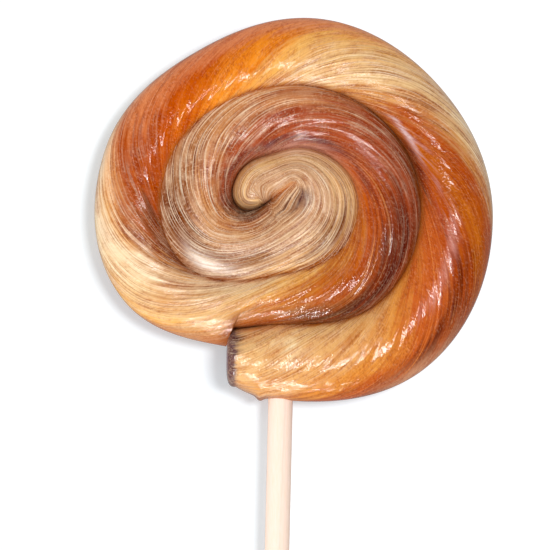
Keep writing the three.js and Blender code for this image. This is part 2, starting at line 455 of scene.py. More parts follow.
    def line_angle(self, ahead: Array, place: Array,
                   edges: tuple[Array, Array], turns: Array) -> Array:
        """Gives the angle round the rope that the pulled lines keep to, from the inner edge.

        It is the section's own angle, but in the first turn, where the sections fan out from the
        eye, it is half a turn times the distance to the nearest part of the inner edge over the
        sum of the distances to both edges, so that the lines close round the slit in loops.

        Args:
            ahead: the section's own angle at each point.
            place: x and y of each point.
            edges: x and y of the inner and of the outer edge at each station.
            turns: the turns at each station.

        Returns:
            The angle at each point.
        """
        reach, step = self.line_search
        rows = np.flatnonzero(turns < self.line_blend[1])
        gaps = np.full((2, *ahead[rows].shape), np.inf)
        for gap, edge in zip(gaps, edges):
            for offset in range(-reach, reach + 1, step):
                near = edge[np.clip(rows + offset, 0, len(edge) - 1)]
                np.minimum(gap, np.linalg.norm(place[rows] - near[:, None], axis=-1), out=gap)
        looped = np.pi * gaps[0] / (gaps.sum(axis=0) + TINY)
        eased = smoothstep(turns[rows], *self.line_blend)[:, None]
        ahead = ahead.copy()
        ahead[rows] = mix(looped, ahead[rows], eased)
        return ahead

    def relief(self, angle: Array, along: Array, share: Array) -> Array:
        """Gives how far the drawn strands dip below the smooth section, in millimetres.

        It is a sum of sines of the angle round the untwisted rope, each with its own count and
        phase, drifting along the rope, from nothing to twice their heights, and it fades out
        towards both edges.

        Args:
            angle: the angle round the untwisted rope at each point.
            along: the millimetres along the rope.
            share: how far across the rope.

        Returns:
            The dip at each point.
        """
        dip = np.zeros_like(angle)
        for count, height, phase in self.ridges:
            drift = count * self.ridge_drift * np.sin(along / self.ridge_wave + phase)
            dip += height * (1 + np.sin(count * angle + phase + drift))
        fade = smoothstep(share, 0, self.ridge_margin) * smoothstep(1 - share, 0, self.ridge_margin)
        return dip * fade

    def crest(self, turns: Array) -> Array:
        """Gives the height of the crest: a straight fall outward with a sine wave on it.

        Args:
            turns: the positions along the rope.

        Returns:
            The height above the middle plane, never under the eye's.
        """
        wave = np.sin(2 * np.pi * self.crest_waves_per_turn * turns)
        fallen = self.crest_at_tip - self.crest_fall * turns
        return np.maximum(fallen + self.crest_wave * wave, self.eye_top)

    def shift(self, turns: Array) -> Array:
        """Gives the power of the share across that moves the outer turn's crest inward."""
        outer_turn = smoothstep(turns, *self.shift_from) * (1 - smoothstep(turns, *self.shift_to))
        return mix(1.0, self.crest_shift, outer_turn)

    def section(self, side: Side, turns: Array, lows: tuple[Array, Array],
                width: Array) -> tuple[Array, Array, Array]:
        """Works out the section at each station, a superellipse as broad as the rope.

        It is cut off at each end at the height of the crease there: across is the cosine of the
        angle round it to the power 2/p, and height is its sine to the same power. On top of the
        outer turn the share across is raised to a power first, which moves the crest inward.

        Args:
            side: which face of the rope.
            turns: the turns at each station.
            lows: the height of the crease at the inner and at the outer edge.
            width: how far apart the edges are.

        Returns:
            The angle round the section, the share across it and the rise from the middle plane.
        """
        over = side is Side.TOP
        crest = self.crest(turns) if over else np.full_like(turns, self.back_crest)
        height = mix(np.maximum(*lows), crest, smoothstep(width, 0, self.full_rope)) + SMALL
        power = 2 / self.section_power
        start, stop = (np.arcsin((low / height) ** (1 / power))[:, None] for low in lows)
        steps = self.top_steps if over else self.back_steps
        around = mix(np.pi - start, stop, np.linspace(0, 1, steps + 1))
        across = np.sign(np.cos(around)) * np.abs(np.cos(around)) ** power
        reach_in, reach_out = (bow(low / height, self.section_power)[:, None] for low in lows)
        share = np.clip((across + reach_in) / (reach_in + reach_out + TINY), 0, 1)
        share[:, 0], share[:, -1] = 0, 1
        if over:
            shifted = share ** self.shift(turns)[:, None] * (reach_in + reach_out) - reach_in
            rise = height[:, None] * bow(shifted, self.section_power)
        else:
            rise = height[:, None] * np.maximum(np.sin(around), 0) ** power
        rise[:, 0], rise[:, -1] = lows
        return around, share, rise

    def swelling(self, turns: Array, share: Array) -> Array:
        """Works out how far the bulge past the notch and the drip at the end move the sugar.

        The drip is a bell along the rope, and a power of the share across it.

        Args:
            turns: the turns at each station.
            share: how far across the rope each point is.

        Returns:
            The x and y of the move at each point.
        """
        bulge, spread = self.bulge(turns)
        from_drip = (self.wound(turns) - self.drip_at) / self.drip_spread
        drip = self.drip_length * np.exp(-from_drip ** 2)
        out = bulge[:, None] * share ** spread[:, None] + drip[:, None] * share ** self.drip_power
        return out[..., None] * self.outward(turns)[:, None]

    def sheet(self, side: Side) -> Sheet:
        """Builds the top or the back of the rope.

        The sections are set between the edges and swollen. The back is pressed flat where it
        would reach below the slab.

        Args:
            side: which face of the rope.

        Returns:
            The face as a grid, a row of points for each station.
        """
        turns, inner, outer = self.stations()
        over = side is Side.TOP
        width = np.hypot(*(outer - inner)[:, :2].T)
        lows = (inner[:, 2], outer[:, 2]) if over else (inner[:, 3], outer[:, 3])
        around, share, rise = self.section(side, turns, lows, width)
        place = mix(inner[:, None, :2], outer[:, None, :2], share[..., None])
        place = place + self.swelling(turns, share)
        middle = (inner + outer)[:, :2] / 2
        along = np.append(0, np.cumsum(np.hypot(*np.diff(middle, axis=0).T)))
        twist = self.twist(turns, along)[:, None]
        ahead = side.value * (np.pi - around)
        if over:
            edges = (self.core(turns, inner), outer[:, :2])
            ahead = self.line_angle(ahead, place, edges, turns)
        from_top = (ahead if over else ahead % (2 * np.pi)) - np.pi / 2
        strip = twist - from_top / (2 * np.pi)
        angle = ahead - 2 * np.pi * twist
        long = np.broadcast_to(along[:, None], angle.shape)
        radius = self.strand_radius
        across = share * width[:, None]
        rise = rise - self.relief(angle, along[:, None], share)
        z = np.maximum(self.middle_height + side.value * rise, 0)
        return Sheet(
            points=np.concatenate([place, z[..., None]], -1),
            strand=np.stack([radius * np.cos(angle), radius * np.sin(angle), long], -1),
            strip=strip[..., None],
            share=share[..., None],
            turns=np.repeat(turns[:, None, None], share.shape[1], 1),
            margin=np.stack([across, width[:, None] - across], -1),
            end=np.zeros((*share.shape, 1)),
        )

    def cut_face(self, top: Sheet, back: Sheet) -> Sheet:
        """Builds the swollen cut face from the last section.

        The loop round the section is drawn in towards its middle by a superellipse as it moves
        out along the rope by a sine.

        Args:
            top: the top of the rope.
            back: its back.

        Returns:
            The face as a grid, from the rim to its middle.
        """
        loops = {name: np.concatenate([grid[-1], getattr(back, name)[-1, ::-1], grid[-1, :1]])
                 for name, grid in vars(top).items()}
        loop = loops["points"]
        middle = loop[:-1].mean(axis=0)
        span = top.points[-1, -1] - top.points[-1, 0]
        outward = np.array([span[1], -span[0], 0]) / np.hypot(span[0], span[1])
        out = np.sin(np.linspace(0, np.pi / 2, self.bulge_steps + 1))[:, None, None]
        size = bow(out, self.end_bulge_power)
        grids = {name: np.repeat(values[None], len(out), 0) for name, values in loops.items()}
        grids["points"] = mix(middle, loop, size) + self.end_bulge * out * outward
        section, long = np.array([1, 1, 0]), np.array([0, 0, 1])
        grids["strand"] = loops["strand"] * section * size + loops["strand"] * long
        grids["strand"] = grids["strand"] + out * self.end_bulge * long
        grids["end"] = grids["end"] + out
        return Sheet(**grids)


def weld(points: Array, triangles: Array) -> tuple[Array, Array, Array]:
    """Merges points in the same place and drops triangles left with no area.

    Args:
        points: places in millimetres.
        triangles: three point numbers each.

    Returns:
        The merged points, the kept triangles in their numbers, and which triangles were kept.
    """
    _, first, number = np.unique(
        np.round(points, WELD_DECIMALS), axis=0, return_index=True, return_inverse=True)
    merged = number.reshape(-1)[triangles]
    a, b, c = merged.T
    kept = (a != b) & (b != c) & (c != a)
    return points[first], merged[kept], kept


def mesh_object(name: str, points: Array, triangles: Array, sharp_above: float,
                corners: dict[str, Array]) -> Piece:
    """Makes a smooth-shaded object from triangles, with values at its face corners.

    Args:
        name: the piece's name.
        points: places in millimetres.
        triangles: three point numbers each.
        sharp_above: edges sharper than this many degrees stay sharp.
        corners: for each attribute, one, three or four numbers for each triangle's corners.

    Returns:
        The object, in metres, at the origin.
    """
    mesh = bpy.data.meshes.new(name)
    mesh.from_pydata((points * MM).tolist(), [], triangles.tolist())
    kinds = {1: ("FLOAT", "value"), 3: ("FLOAT_VECTOR", "vector"), 4: ("FLOAT_COLOR", "color")}
    for label, values in corners.items():
        kind, value_name = kinds[values.shape[-1]]
        layer = mesh.attributes.new(label, kind, "CORNER")
        layer.data.foreach_set(value_name, np.ascontiguousarray(values, dtype=np.float32).ravel())
    mesh.shade_smooth()
    mesh.set_sharp_from_angle(angle=math.radians(sharp_above))
    piece = bpy.data.objects.new(name, mesh)
    bpy.context.collection.objects.link(piece)
    return piece


class Sugar(Enum):
    """The batches of boiled sugar that were pulled together, as sRGB."""

    CREAM = "f4ddb8"
    FLAX = "ebc993"
    STRAW = "eabd7e"
    SAND = "dfa663"
    TAN = "c99c72"
    FAWN = "ca8e58"
    TOFFEE = "d2944e"
    HONEY = "edb25c"
    APRICOT = "d98e3c"
    TANGERINE = "ec8c20"
    ORANGE = "c35401"
    AMBER = "ba6212"
    COPPER = "bf5c22"
    RUST = "aa4505"
    SIENNA = "b85210"
    CHESTNUT = "b04d13"
    BRICK = "a54a26"
    MAROON = "9a4014"


@dataclass(frozen=True)
class Strip:
    """A strip of one batch: the turns of twist that bring it to the top, and how clear it is."""

    middle: float
    batch: Sugar
    clear: float = 0.0


@dataclass(frozen=True)
class Patch:
    """A patch of colour over the sugar, a bell over the strips, across the rope and along it.

    Most patches are stains of the sugar's own; those marked in the list are painted shade and
    painted highlights. Each of the three is given by the bell's middle and its breadth.
    """

    strip: float
    share: float
    strips_wide: float
    shares_wide: float
    colour: str
    strength: float
    turns: float = 1.5
    turns_wide: float = 50.0

    def amount(self, sheet: Sheet) -> Array:
        """Works out the bell: e to the minus sum of squares, each counted in its own breadths.

        Args:
            sheet: the sheet that is stained.

        Returns:
            The stain's strength at each place.
        """
        over = (sheet.strip - self.strip) / self.strips_wide
        across = (sheet.share - self.share) / self.shares_wide
        along = (sheet.turns - self.turns) / self.turns_wide
        return self.strength * np.exp(-over ** 2 - across ** 2 - along ** 2)


@dataclass(frozen=True)
class Streak:
    """Noise drawn out along the strands: its grain in mm, and the band of it that is kept.

    detail is how many finer copies the noise has, each octave_share as strong as the one before,
    and shift moves it off the other streaks.
    """

    width: float
    length: float
    low: float
    high: float
    detail: float = 2.0
    shift: float = 0.0
    octave_share: float = 0.55

    def mask(self, tree: Tree, strand: Socket) -> Socket:
        """Adds the nodes for it.

        Args:
            tree: the material's node tree.
            strand: the place in the straight rope, in millimetres.

        Returns:
            0 where the noise is under the band, 1 where it is over it.
        """
        add = partial(add_node, tree)
        stretched = add("VectorMath", {"operation": "MULTIPLY_ADD"}, {
            0: strand, 1: (1 / self.width, 1 / self.width, 1 / self.length), 2: (self.shift,) * 3})
        noise = add("TexNoise", inputs={
            "Vector": stretched.outputs[0], "Scale": 1.0, "Detail": self.detail,
            "Roughness": self.octave_share})
        kept = add("MapRange", inputs={
            "Value": noise.outputs["Fac"], "From Min": self.low, "From Max": self.high})
        return kept.outputs[0]


class Blend(Enum):
    """How a layer of streaks is laid over the sugar: as a cover, or as a tint."""

    COVER = "MIX"
    TINT = "MULTIPLY"


@dataclass(frozen=True)
class Layer:
    """Streaks of one colour, with how strong they are in opaque and in clear sugar."""

    streak: Streak
    colour: str
    blend: Blend
    opaque: float
    clear: float


@dataclass(frozen=True)
class PulledSugar:
    """Boiled sugar pulled to a satin: clear amber and cream strips, full of fine air lines.

    Pulling folds air into the batch, so the pale strips are opaque and silky with hair-fine
    lines along the pull, and the strips that were folded less stay clear, deep and glossy.

    Real air lines are a few hundredths of a millimetre wide, too fine to show, so the layers draw
    them 0.12 to 0.45 mm wide. wander and feather move the edges of the strips, fibre frays the
    stains and the painted light laid with them, and thinning gathers the lines in bundles. satin
    is the relief of fine grooves along the pull, and sparkle that of shallow pits, which break up
    the glints. Painted light is laid on the sugar too: an amber glow in the creases, a pale rim,
    a highlight on the cut face, and patches of painted shade and painted highlight.
    """

    name: str = "pulled_sugar"
    strips: tuple[Strip, ...] = (
        Strip(-0.25, Sugar.STRAW, 0.2), Strip(-0.14, Sugar.STRAW), Strip(-0.02, Sugar.TAN),
        Strip(0.14, Sugar.TAN), Strip(0.25, Sugar.FAWN), Strip(0.35, Sugar.BRICK, 0.3),
        Strip(0.46, Sugar.BRICK, 0.7), Strip(0.57, Sugar.MAROON, 0.9), Strip(0.66, Sugar.SIENNA, 0.9),
        Strip(0.75, Sugar.AMBER, 0.8), Strip(0.85, Sugar.HONEY, 0.6), Strip(0.95, Sugar.FLAX, 0.3),
        Strip(1.09, Sugar.CREAM, 0.2), Strip(1.17, Sugar.SAND), Strip(1.26, Sugar.CHESTNUT, 0.6),
        Strip(1.37, Sugar.RUST, 0.8), Strip(1.52, Sugar.ORANGE, 1.0), Strip(1.65, Sugar.TANGERINE, 1.0),
        Strip(1.75, Sugar.HONEY, 0.8), Strip(1.86, Sugar.STRAW, 0.2), Strip(1.97, Sugar.FLAX),
        Strip(2.06, Sugar.TOFFEE, 0.2), Strip(2.15, Sugar.RUST, 0.9), Strip(2.25, Sugar.AMBER, 1.0),
        Strip(2.36, Sugar.RUST, 0.9), Strip(2.48, Sugar.COPPER, 1.0), Strip(2.57, Sugar.COPPER, 1.0),
        Strip(2.66, Sugar.APRICOT, 1.0), Strip(2.78, Sugar.SAND, 0.6),
        Strip(2.95, Sugar.STRAW, 0.5), Strip(3.2, Sugar.STRAW, 0.5),
    )
    strip_span: tuple[float, float] = (-0.75, 3.45)
    patches: tuple[Patch, ...] = (
        # painted shade down into the hole, over brown sugar lines
        Patch(0.3, 0.0, 0.3, 0.17, "4d2c1a", 0.85, 1.07, 0.09),
        Patch(0.0, 0.65, 0.4, 0.5, "8c5222", 0.8, 0.08, 0.15),
        Patch(0.15, 0.22, 0.4, 0.16, "5c3430", 0.7, 0.89, 0.09),
        Patch(0.0, 0.85, 0.4, 0.24, "80481c", 0.85, 0.89, 0.1),
        # painted highlight: gloss on the top edge of the tongue
        Patch(0.0, 0.85, 0.4, 0.2, "f8dcc2", 0.65, 0.52, 0.14),
        Patch(0.03, 0.61, 0.3, 0.1, "f4d2a0", 0.6, 0.955, 0.035),
        Patch(-0.15, 0.98, 0.3, 0.1, "a45c1c", 0.85, 0.92, 0.07),
        Patch(0.1, 0.8, 0.4, 0.27, "80400f", 0.92, 1.2, 0.13),
        Patch(0.05, 0.72, 0.3, 0.16, "966030", 0.7, 1.06, 0.04),
        # painted highlight: milky gloss on the disc's lower left shoulder
        Patch(0.05, 0.84, 0.3, 0.08, "fffaf0", 0.9, 1.14, 0.03),
        Patch(0.32, 0.78, 0.4, 0.2, "e0a06a", 0.6, 1.52, 0.12),
        Patch(0.48, 0.15, 0.16, 0.1, "6a3436", 0.75),
        # painted sheen: a mauve highlight along turn two's inner margin
        Patch(0.55, 0.02, 0.3, 0.09, "cc9484", 0.8, 1.53, 0.18),
        Patch(0.56, 0.84, 0.07, 0.22, "401818", 0.75),
        Patch(0.5, 0.65, 0.3, 0.4, "6a200a", 0.75, 1.85, 0.09),
        Patch(0.65, 0.84, 0.08, 0.16, "5a2a12", 0.85, 1.99, 0.06),
        Patch(0.68, 0.52, 0.12, 0.16, "a44404", 0.7, 1.94, 0.05),
        Patch(0.75, 0.75, 0.1, 0.22, "b97a3e", 0.5),
        Patch(0.8, 0.62, 0.3, 0.4, "e6be84", 0.85, 2.1, 0.025),
        Patch(0.72, 1.0, 0.3, 0.1, "c07038", 0.8, 2.09, 0.02),
        # painted shade where the flank turns under the tail at the notch
        Patch(0.72, 0.9, 0.3, 0.3, "984a0e", 0.95, 2.079, 0.006),
        Patch(1.0, 0.35, 0.2, 0.2, "c89058", 0.6, 2.15, 0.06),
        Patch(1.26, 0.15, 0.08, 0.16, "6b3018", 0.75),
        Patch(1.27, 0.02, 0.15, 0.12, "7a3a20", 0.8, 2.17, 0.035),
        Patch(1.18, 0.78, 0.05, 0.25, "e6a463", 0.6),
        Patch(1.23, 0.52, 0.06, 0.16, "a84e1c", 0.8, 2.24, 0.03),
        Patch(1.22, 0.34, 0.07, 0.26, "a8582c", 0.9, 2.2, 0.045),
        Patch(1.0, 0.6, 0.14, 0.16, "d49a5a", 0.6, 2.14, 0.03),
        Patch(1.34, 0.88, 0.12, 0.16, "e69058", 0.8, 2.34, 0.06),
        Patch(1.4, 0.67, 0.08, 0.25, "d87a40", 0.5),
        Patch(1.5, 0.88, 0.16, 0.22, "d87c4c", 0.85),
        Patch(1.67, 0.92, 0.14, 0.16, "e09060", 0.75),
        Patch(1.88, 0.12, 0.14, 0.12, "d68a3c", 0.65, 2.47, 0.06),
        # painted shade in the groove beside the outer turn, over dark purple sugar
        Patch(2.34, 0.04, 0.14, 0.11, "641a04", 0.8),
        # painted highlight: a lavender sheen streak beside that groove
        Patch(2.22, 0.14, 0.1, 0.04, "d8bcc0", 0.85, 2.69, 0.05),
        # painted sheen, broader and fainter, beside the same groove
        Patch(2.26, 0.25, 0.1, 0.08, "b78c90", 0.35),
        # painted sheen along the outer turn's crest on the right
        Patch(2.42, 0.46, 0.14, 0.09, "d8958a", 0.6),
        Patch(2.45, 0.82, 0.08, 0.16, "65230f", 0.7),
        # painted shade on the right rim, where the clear sugar is deep in colour too
        Patch(2.4, 1.0, 0.3, 0.16, "8a3a0a", 0.7),
        # painted highlight on the outermost edge at the lower right
        Patch(2.5, 1.0, 0.3, 0.12, "d8a078", 0.75, 2.92, 0.035),
        Patch(2.37, 0.68, 0.1, 0.2, "6a2004", 0.55, 2.84, 0.05),
        Patch(2.85, 0.95, 0.15, 0.22, "c06408", 0.85, 2.95, 0.06),
        Patch(2.98, 0.32, 0.14, 0.2, "fff0c8", 0.65, 3.02, 0.018),
        Patch(3.02, 0.22, 0.4, 0.2, "7d6254", 0.75, 3.075, 0.012),
        Patch(3.02, 0.5, 0.6, 0.8, "64434a", 0.7, 3.074, 0.003),
        Patch(3.0, 1.0, 0.5, 0.08, "94645a", 0.7, 3.06, 0.03),
        # painted light: lighter along the tail's inner edge, where the crease shades it
        Patch(3.0, 0.0, 0.6, 0.07, "f0a860", 0.85, 3.05, 0.03),
    )
    free_edge_from: tuple[float, float] = (2.07, 2.12)
    # painted light: the amber beside the creases is the glow of light shining through the clear sugar,
    # painted into its colour
    painted_crease_glow_width: float = 0.65
    painted_crease_glow: str = "bd6a18"
    painted_crease_glow_strength: float = 0.7
    # painted light: the pale band on the free outer rim is light from the table below, painted into the
    # colour
    painted_rim_light_width: float = 1.6
    painted_rim_light: str = "fff0d6"
    painted_rim_light_strength: float = 0.5
    end_colour: str = "64434a"
    end_strength: float = 0.85
    end_blend: float = 0.25
    # painted highlight: a lavender sheen across the bulge of the cut face
    painted_end_highlight: str = "c9b4c4"
    painted_end_highlight_strength: float = 0.6
    painted_end_highlight_at: float = 0.96
    painted_end_highlight_width: float = 0.1
    wander: Streak = Streak(3.0, 16.0, 0.3, 0.7, 1.0)
    wander_turns: float = 0.08
    feather: Streak = Streak(0.6, 9.0, 0.3, 0.7, 2.0, 7.3)
    feather_turns: float = 0.07
    fibre: Streak = Streak(0.5, 8.0, 0.3, 0.65, 2.0, 41.9)
    fray: float = 0.8
    layers: tuple[Layer, ...] = (
        Layer(Streak(1.4, 2.8, 0.48, 0.72, 2.0, 71.3), "f8e4c4", Blend.COVER, 0.4, 0.0),
        Layer(Streak(2.0, 8.0, 0.45, 0.75, 2.0, 31.3), "d2986a", Blend.TINT, 0.6, 0.35),
        Layer(Streak(0.7, 1.1, 0.35, 0.7, 2.0, 53.3), "d8a680", Blend.TINT, 0.4, 0.5),
        Layer(Streak(0.45, 18.0, 0.45, 0.75, 2.0, 14.9), "d09e6c", Blend.TINT, 0.5, 0.2),
        Layer(Streak(0.18, 14.0, 0.48, 0.60, 1.5, 23.9), "b07a48", Blend.TINT, 0.8, 0.2),
        Layer(Streak(0.17, 11.0, 0.54, 0.64, 1.5, 11.7), "ffeccc", Blend.COVER, 0.5, 0.0),
        Layer(Streak(0.12, 22.0, 0.60, 0.67, 1.5, 67.7), "f0a050", Blend.COVER, 0.0, 0.35),
        Layer(Streak(0.30, 0.4, 0.52, 0.66, 2.0, 83.1), "ffdcb8", Blend.COVER, 0.25, 0.08),
        Layer(Streak(0.30, 0.4, 0.50, 0.68, 2.0, 37.9), "a05a30", Blend.TINT, 0.25, 0.4),
    )
    thinning: Streak = Streak(1.6, 4.0, 0.35, 0.6, 2.0, 91.7)
    thinned: float = 0.35
    satin: Streak = Streak(0.2, 12.0, 0.36, 0.64, 2.0, 3.1)
    sparkle: Streak = Streak(0.30, 0.34, 0.3, 0.7, 1.0, 57.1)
    sparkle_depth: float = 0.016
    satin_depth: float = 0.014
    smoothed: float = 0.12
    roughness: tuple[float, float] = (0.2, 0.07)
    ior: float = 1.42

    def stain(self, sheet: Sheet) -> Array:
        """Lays the painted crease glow and rim light, the patches and the cut face over a sheet.

        Each is mixed over the one before by its own strength. The amber at the creases is painted
        light shining through the sugar, and the pale rim painted light from the table; both fade as a
        bell of the millimetres from the edge, and the rim is pale only where the strip is opaque and
        the outer edge is free. The patches are the sugar's own stains, painted shade and painted
        highlights, and the cut face has a painted highlight.

        Args:
            sheet: the sheet to lay them on.

        Returns:
            Red, green, blue and how much they cover, at each place.
        """
        free = smoothstep(sheet.turns, *self.free_edge_from)
        inner, outer = sheet.margin[..., :1], sheet.margin[..., 1:]
        # painted light: the amber glow beside the creases
        crease = np.exp(-(inner / self.painted_crease_glow_width) ** 2)
        crease = crease + np.exp(-(outer / self.painted_crease_glow_width) ** 2) * (1 - free)
        opaque = 1 - np.interp(sheet.strip, *zip(*((own.middle, own.clear) for own in self.strips)))
        # painted light: the pale band on the free rim
        rim = np.exp(-(outer / self.painted_rim_light_width) ** 2) * free * opaque
        layers = [(self.painted_crease_glow, np.minimum(crease, 1) * self.painted_crease_glow_strength),
                  (self.painted_rim_light, rim * self.painted_rim_light_strength)]
        layers += [(patch.colour, patch.amount(sheet)) for patch in self.patches]
        on_end = np.minimum(sheet.end / self.end_blend, 1)
        layers.append((self.end_colour, on_end * self.end_strength))
        # painted highlight across the cut face
        glow = np.exp(-((sheet.end - self.painted_end_highlight_at) / self.painted_end_highlight_width) ** 2)
        layers.append((self.painted_end_highlight, glow * self.painted_end_highlight_strength))
        colour, cover = np.zeros((*sheet.strip.shape[:2], 3)), np.zeros(sheet.strip.shape)
        for hex_colour, amount in layers:
            colour = mix(colour, np.array(linear(hex_colour)[:3]), amount)
            cover = mix(cover, 1.0, amount)
        return np.concatenate([colour / np.maximum(cover, SMALL), cover], -1)

    def ramp(self, tree: Tree, strip: Socket,
             colours: list[tuple[float, float, float, float]]) -> Socket:
        """Adds a ramp that runs from strip to strip.

        Args:
            tree: the material's node tree.
            strip: the turns of twist that name the strip at each place.
            colours: the colour at the middle of each strip.

        Returns:
            The colour between the two nearest strips' own.
        """
        add = partial(add_node, tree)
        low, high = self.strip_span
        share = add("MapRange", inputs={"Value": strip, "From Min": low, "From Max": high})
        node = add("ValToRGB", inputs={0: share.outputs[0]})
        stops = node.color_ramp.elements
        while len(stops) < len(colours):
            stops.new(1.0)
        for stop, own, colour in zip(stops, self.strips, colours):
            stop.position = (own.middle - low) / (high - low)
            stop.color = colour
        return node.outputs[0]

    def wandering(self, tree: Tree, strand: Socket) -> Socket:
        """Adds the strip at each place, its edges wandering and feathered along the strands.

        Args:
            tree: the material's node tree.
            strand: the place in the straight rope, in millimetres.

        Returns:
            The turns of twist that name the strip.
        """
        add = partial(add_node, tree)
        strip = add("Attribute", {"attribute_name": "strip"}).outputs["Fac"]
        for streak, turns in ((self.wander, self.wander_turns), (self.feather, self.feather_turns)):
            moved = add("MapRange", inputs={
                "Value": streak.mask(tree, strand), "To Min": -turns / 2, "To Max": turns / 2})
            total = add("Math", {"operation": "ADD"}, {0: strip, 1: moved.outputs[0]})
            strip = total.outputs[0]
        return strip

    def material(self) -> Material:
        """Builds the material from the strand and strip attributes and the one of stains and painted
        light.

        Returns:
            The material.
        """
        made, tree = empty_material(self.name)
        add = partial(add_node, tree)
        # A Mix node's colours go in at 6 and 7 and come out at 2.
        strand = add("Attribute", {"attribute_name": "strand"}).outputs["Vector"]
        strip = self.wandering(tree, strand)
        colour = self.ramp(tree, strip, [linear(own.batch.value) for own in self.strips])
        clear = self.ramp(tree, strip, [(own.clear,) * 3 + (1.0,) for own in self.strips])
        # the sugar's own stains, with the painted glow, shade and highlights
        stain = add("Attribute", {"attribute_name": "stain"})
        fray = add("Math", {"operation": "MULTIPLY_ADD"}, {
            0: self.fibre.mask(tree, strand), 1: self.fray, 2: -self.fray})
        cover = add("Math", {"operation": "MULTIPLY_ADD", "use_clamp": True}, {
            0: stain.outputs["Alpha"], 1: 2 * self.fray, 2: fray.outputs[0]})
        colour = add("Mix", {"data_type": "RGBA"}, {
            "Factor": cover.outputs[0], 6: colour, 7: stain.outputs["Color"]}).outputs[2]
        thick = add("MapRange", inputs={
            "Value": self.thinning.mask(tree, strand), "To Min": self.thinned, "To Max": 1.0})
        for layer in self.layers:
            share = add("MapRange", inputs={
                "Value": clear, "To Min": layer.opaque, "To Max": layer.clear})
            amount = add("Math", {"operation": "MULTIPLY"}, {
                0: layer.streak.mask(tree, strand), 1: share.outputs[0]})
            amount = add("Math", {"operation": "MULTIPLY"}, {
                0: amount.outputs[0], 1: thick.outputs[0]})
            colour = add("Mix", {"data_type": "RGBA", "blend_type": layer.blend.value}, {
                "Factor": amount.outputs[0], 6: colour, 7: linear(layer.colour)}).outputs[2]
        grooved = add("MapRange", inputs={"Value": clear, "To Min": 1.0, "To Max": self.smoothed})
        satin = add("Math", {"operation": "MULTIPLY"}, {
            0: self.satin.mask(tree, strand), 1: grooved.outputs[0]})
        lines = add("Bump", inputs={
            "Distance": self.satin_depth * MM, "Height": satin.outputs[0]})
        bump = add("Bump", inputs={
            "Distance": self.sparkle_depth * MM, "Height": self.sparkle.mask(tree, strand),
            "Normal": lines.outputs[0]})
        gloss = add("MapRange", inputs={
            "Value": clear, "To Min": self.roughness[0], "To Max": self.roughness[1]})
        shader = add("BsdfPrincipled", inputs={
            "Base Color": colour, "Roughness": gloss.outputs[0], "IOR": self.ior,
            "Normal": bump.outputs[0]})
        add("OutputMaterial", inputs={0: shader.outputs[0]})
        return made


@dataclass
class SugarHead:
    """The head of the lollipop: the coiled rope, dressed in pulled sugar."""

    rope: Rope = field(default_factory=Rope)
    finish: PulledSugar = field(default_factory=PulledSugar)
    crease_angle: float = 42.0

    def build(self) -> Piece:
        """Makes the head and puts it in the place of its solid.

        Returns:
            The head's object.
        """
        top, back = self.rope.sheet(Side.TOP), self.rope.sheet(Side.BACK)
        sheets = (top, back, self.rope.cut_face(top, back))
        triangles, count = [], 0
        for sheet, flip in zip(sheets, (False, True, False)):
            cells = grid_triangles(*sheet.points.shape[:2]) + count
            triangles.append(cells[:, ::-1] if flip else cells)
            count += sheet.points.shape[0] * sheet.points.shape[1]
        triangles = np.concatenate(triangles)
        points = np.concatenate([sheet.points.reshape(-1, 3) for sheet in sheets])
        places, kept_triangles, kept = weld(points, triangles)
        corners = {}
        marks = {"strand": [sheet.strand for sheet in sheets],
                 "strip": [sheet.strip for sheet in sheets],
                 "stain": [self.finish.stain(sheet) for sheet in sheets]}
        for label, grids in marks.items():
            values = np.concatenate([grid.reshape(-1, grid.shape[-1]) for grid in grids])
            corners[label] = values[triangles[kept]]
        head = mesh_object("sugar_rope", places, kept_triangles, self.crease_angle, corners)
        head.data.materials.append(self.finish.material())
        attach(head, "root")
        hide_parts("candy_swirl")
        log.info("sugar_rope: %d triangles", len(kept_triangles))
        return head


@dataclass(frozen=True)
class RolledPaper:
    """Bleached paper rolled tight with glue: matt, warm white, with faint fibres along it.

    Real fibres are some 0.03 mm wide, too fine to show, so they are drawn 0.18 mm wide.
    """

    name: str = "rolled_paper"
    colour: str = "f5dbcc"
    fibre_colour: str = "eccfb0"
    fibre_width: float = 0.18
    fibre_length: float = 2.4
    fibre_band: tuple[float, float] = (0.35, 0.75)
    fibre_detail: float = 2.0
    fibre_share: float = 0.5
    fibre_depth: float = 0.015
    roughness: float = 0.9

    def material(self) -> Material:
        """Builds the material: fine fibres drawn out along the stick, in colour and relief.

        Returns:
            The material.
        """
        made, tree = empty_material(self.name)
        add = partial(add_node, tree)
        place = add("TexCoord").outputs["Object"]
        across, along = 1 / (self.fibre_width * MM), 1 / (self.fibre_length * MM)
        stretched = add("VectorMath", {"operation": "MULTIPLY"}, {
            0: place, 1: (across, along, across)})
        noise = add("TexNoise", inputs={
            "Vector": stretched.outputs[0], "Scale": 1.0, "Detail": self.fibre_detail})
        low, high = self.fibre_band
        share = add("MapRange", inputs={
            "Value": noise.outputs["Fac"], "From Min": low, "From Max": high,
            "To Max": self.fibre_share})
        colour = add("Mix", {"data_type": "RGBA"}, {
            "Factor": share.outputs[0], 6: linear(self.colour), 7: linear(self.fibre_colour)})
        bump = add("Bump", inputs={
            "Distance": self.fibre_depth * MM, "Height": noise.outputs["Fac"]})
        shader = add("BsdfPrincipled", inputs={
            "Base Color": colour.outputs[2], "Roughness": self.roughness,
            "Normal": bump.outputs[0]})
        add("OutputMaterial", inputs={0: shader.outputs[0]})
        return made


